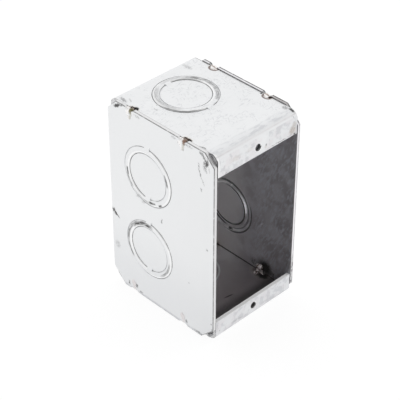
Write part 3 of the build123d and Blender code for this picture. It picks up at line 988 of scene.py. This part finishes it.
def thread_nodes(material):
    tree = bpy.data.node_groups.new("tapped_threads", "GeometryNodeTree")
    sizes = {
        "Pitch": THREAD_PITCH,
        "Radius": HOLE_RADIUS,
        "Depth": THREAD_DEPTH,
        "Sheet": SHEET,
        "Half spacing": SCREW_HALF_PITCH,
    }
    identifiers = {}
    for name, value in sizes.items():
        socket = tree.interface.new_socket(name, in_out="INPUT", socket_type=FLOAT)
        identifiers[socket.identifier] = value * MM
    tree.interface.new_socket("Geometry", in_out="OUTPUT", socket_type="NodeSocketGeometry")
    given = tree.nodes.new("NodeGroupInput").outputs
    made = tree.nodes.new("NodeGroupOutput").inputs
    spiral = tree.nodes.new("GeometryNodeCurveSpiral")
    spiral.inputs["Resolution"].default_value = 28
    run = sums(tree, "SUBTRACT", given["Sheet"], times(tree, given["Pitch"], 0.8))
    join(tree, sums(tree, "DIVIDE", run, given["Pitch"]), spiral.inputs["Rotations"])
    ridge_line = sums(tree, "SUBTRACT", given["Radius"], times(tree, given["Depth"], 0.35))
    join(tree, ridge_line, spiral.inputs["Start Radius"])
    join(tree, ridge_line, spiral.inputs["End Radius"])
    join(tree, run, spiral.inputs["Height"])
    ridge = tree.nodes.new("GeometryNodeCurvePrimitiveCircle")
    ridge.inputs["Resolution"].default_value = 6
    join(tree, times(tree, given["Depth"], 0.65), ridge.inputs["Radius"])
    sweep = tree.nodes.new("GeometryNodeCurveToMesh")
    join(tree, spiral.outputs[0], sweep.inputs["Curve"])
    join(tree, ridge.outputs["Curve"], sweep.inputs["Profile Curve"])
    sweep.inputs["Fill Caps"].default_value = True
    holes = tree.nodes.new("GeometryNodeMeshLine")
    holes.mode = "END_POINTS"
    holes.inputs["Count"].default_value = 2
    start = (WRAP_FRONT + 0.4 * THREAD_PITCH) * MM
    for socket, sign in (("Start Location", -1), ("Offset", 1)):
        level = sums(tree, "MULTIPLY_ADD", given["Half spacing"], sign, MIDDLE_Z * MM)
        join(tree, bundle(tree, 0.0, start, level), holes.inputs[socket])
    stand = tree.nodes.new("GeometryNodeInstanceOnPoints")
    join(tree, holes.outputs[0], stand.inputs["Points"])
    join(tree, sweep.outputs[0], stand.inputs["Instance"])
    stand.inputs["Rotation"].default_value = (math.radians(-90), 0, 0)
    real = tree.nodes.new("GeometryNodeRealizeInstances")
    join(tree, stand.outputs[0], real.inputs[0])
    paint = tree.nodes.new("GeometryNodeSetMaterial")
    join(tree, real.outputs[0], paint.inputs["Geometry"])
    paint.inputs["Material"].default_value = material
    join(tree, paint.outputs[0], made["Geometry"])
    return tree, identifiers


thread_zinc, tree, shader, place, grain = zinc_sheet("thread_zinc", 0.25)
# Painted shade: the threads grow dark deeper in the hole.
deep = smooth(tree, axes(tree, place)[1], WRAP_FRONT + 0.45, WRAP_FRONT + 0.75)
zinc_finish(tree, shader, grain, TAPPED_ZINC, [], times(tree, deep, 0.95))
threads = bpy.data.objects.new("screw_threads", bpy.data.meshes.new("screw_threads"))
bpy.context.scene.collection.objects.link(threads)
thread_tree, thread_sizes = thread_nodes(thread_zinc)
tapping = threads.modifiers.new("tapping", "NODES")
tapping.node_group = thread_tree
for identifier, value in thread_sizes.items():
    tapping[identifier] = value
evaluated(threads, "screw_threads")
threads.data.shade_smooth()
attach(threads, "root")


# Floor and light: a plain pale floor and a white studio that is darker above and in front of the open side,
# so that the bright sheet has something to show in its hollow side.

FLOOR_HALF = 3.0
FLOOR_GREY, FLOOR_SEEN, FLOOR_GLOW = (0.85, 0.85, 0.85, 1), (0.2, 0.2, 0.2, 1), 0.88
floor_mesh = bpy.data.meshes.new("floor")
floor_mesh.from_pydata(
    [
        (-FLOOR_HALF, -FLOOR_HALF, 0),
        (FLOOR_HALF, -FLOOR_HALF, 0),
        (FLOOR_HALF, FLOOR_HALF, 0),
        (-FLOOR_HALF, FLOOR_HALF, 0),
    ],
    [],
    [(0, 1, 2, 3)],
)
floor = bpy.data.objects.new("floor", floor_mesh)
bpy.context.scene.collection.objects.link(floor)
floor_paint = bpy.data.materials.new("floor_paint")
floor_paint.use_nodes = True
tree = floor_paint.node_tree
tree.nodes.clear()
path = tree.nodes.new("ShaderNodeLightPath").outputs
seen = most(tree, path["Is Camera Ray"], path["Is Glossy Ray"], path["Is Transmission Ray"])
plain = tree.nodes.new("ShaderNodeBsdfDiffuse")
plain.inputs["Color"].default_value = FLOOR_GREY
faint = tree.nodes.new("ShaderNodeBsdfDiffuse")
faint.inputs["Color"].default_value = FLOOR_SEEN
white = tree.nodes.new("ShaderNodeEmission")
white.inputs["Strength"].default_value = FLOOR_GLOW
glow = tree.nodes.new("ShaderNodeAddShader")
tree.links.new(faint.outputs[0], glow.inputs[0])
tree.links.new(white.outputs[0], glow.inputs[1])
choice = tree.nodes.new("ShaderNodeMixShader")
join(tree, seen, choice.inputs[0])
tree.links.new(plain.outputs[0], choice.inputs[1])
tree.links.new(glow.outputs[0], choice.inputs[2])
out = tree.nodes.new("ShaderNodeOutputMaterial")
tree.links.new(choice.outputs[0], out.inputs["Surface"])
floor_mesh.materials.append(floor_paint)

DARK_SIDE = Vector((-0.42, -0.43, 0.80)).normalized()
DARK_LEVEL = 0.33
world = bpy.data.worlds.new("studio")
bpy.context.scene.world = world
world.use_nodes = True
tree = world.node_tree
background = tree.nodes["Background"]
coordinates = tree.nodes.new("ShaderNodeTexCoord")
facing = tree.nodes.new("ShaderNodeVectorMath")
facing.operation = "DOT_PRODUCT"
tree.links.new(coordinates.outputs["Generated"], facing.inputs[0])
facing.inputs[1].default_value = DARK_SIDE
dark = smooth(tree, facing.outputs["Value"], 0.45, 0.93)
level = sums(tree, "MULTIPLY_ADD", dark, DARK_LEVEL - 1.0, 1.0)
path = tree.nodes.new("ShaderNodeLightPath").outputs
join(tree, most(tree, level, path["Is Camera Ray"]), background.inputs["Strength"])
background.inputs["Color"].default_value = (1, 1, 1, 1)


# Camera: a long lens, above and to the left of the open front. Its place was fitted together with the
# box's sizes. Lengths are in millimetres.

AZIMUTH = math.radians(-44.468)
ELEVATION = math.radians(36.661)
ROLL = math.radians(0.09)
DISTANCE = 600.45
AIM = Vector((0, 0, 47.6))
SLIDE_RIGHT, SLIDE_UP = -1.379, -0.34
LENS, SENSOR_WIDTH = 125.23, 36
back = Vector(
    (math.sin(AZIMUTH) * math.cos(ELEVATION), -math.cos(AZIMUTH) * math.cos(ELEVATION), math.sin(ELEVATION))
)
right = Vector((math.cos(AZIMUTH), math.sin(AZIMUTH), 0))
up = back.cross(right)
camera_data = bpy.data.cameras.new("camera")
camera_data.lens = LENS
camera_data.sensor_width = SENSOR_WIDTH
camera_data.clip_end = 20
camera = bpy.data.objects.new("camera", camera_data)
bpy.context.scene.collection.objects.link(camera)
turned_right = right * math.cos(ROLL) + up * math.sin(ROLL)
turned_up = up * math.cos(ROLL) - right * math.sin(ROLL)
stand_at = (AIM + back * DISTANCE + right * SLIDE_RIGHT + up * SLIDE_UP) * MM
facing_box = Matrix((turned_right, turned_up, back)).transposed().to_4x4()
camera.matrix_world = Matrix.Translation(stand_at) @ facing_box
bpy.context.scene.camera = camera
bpy.context.scene.view_settings.view_transform = "Standard"
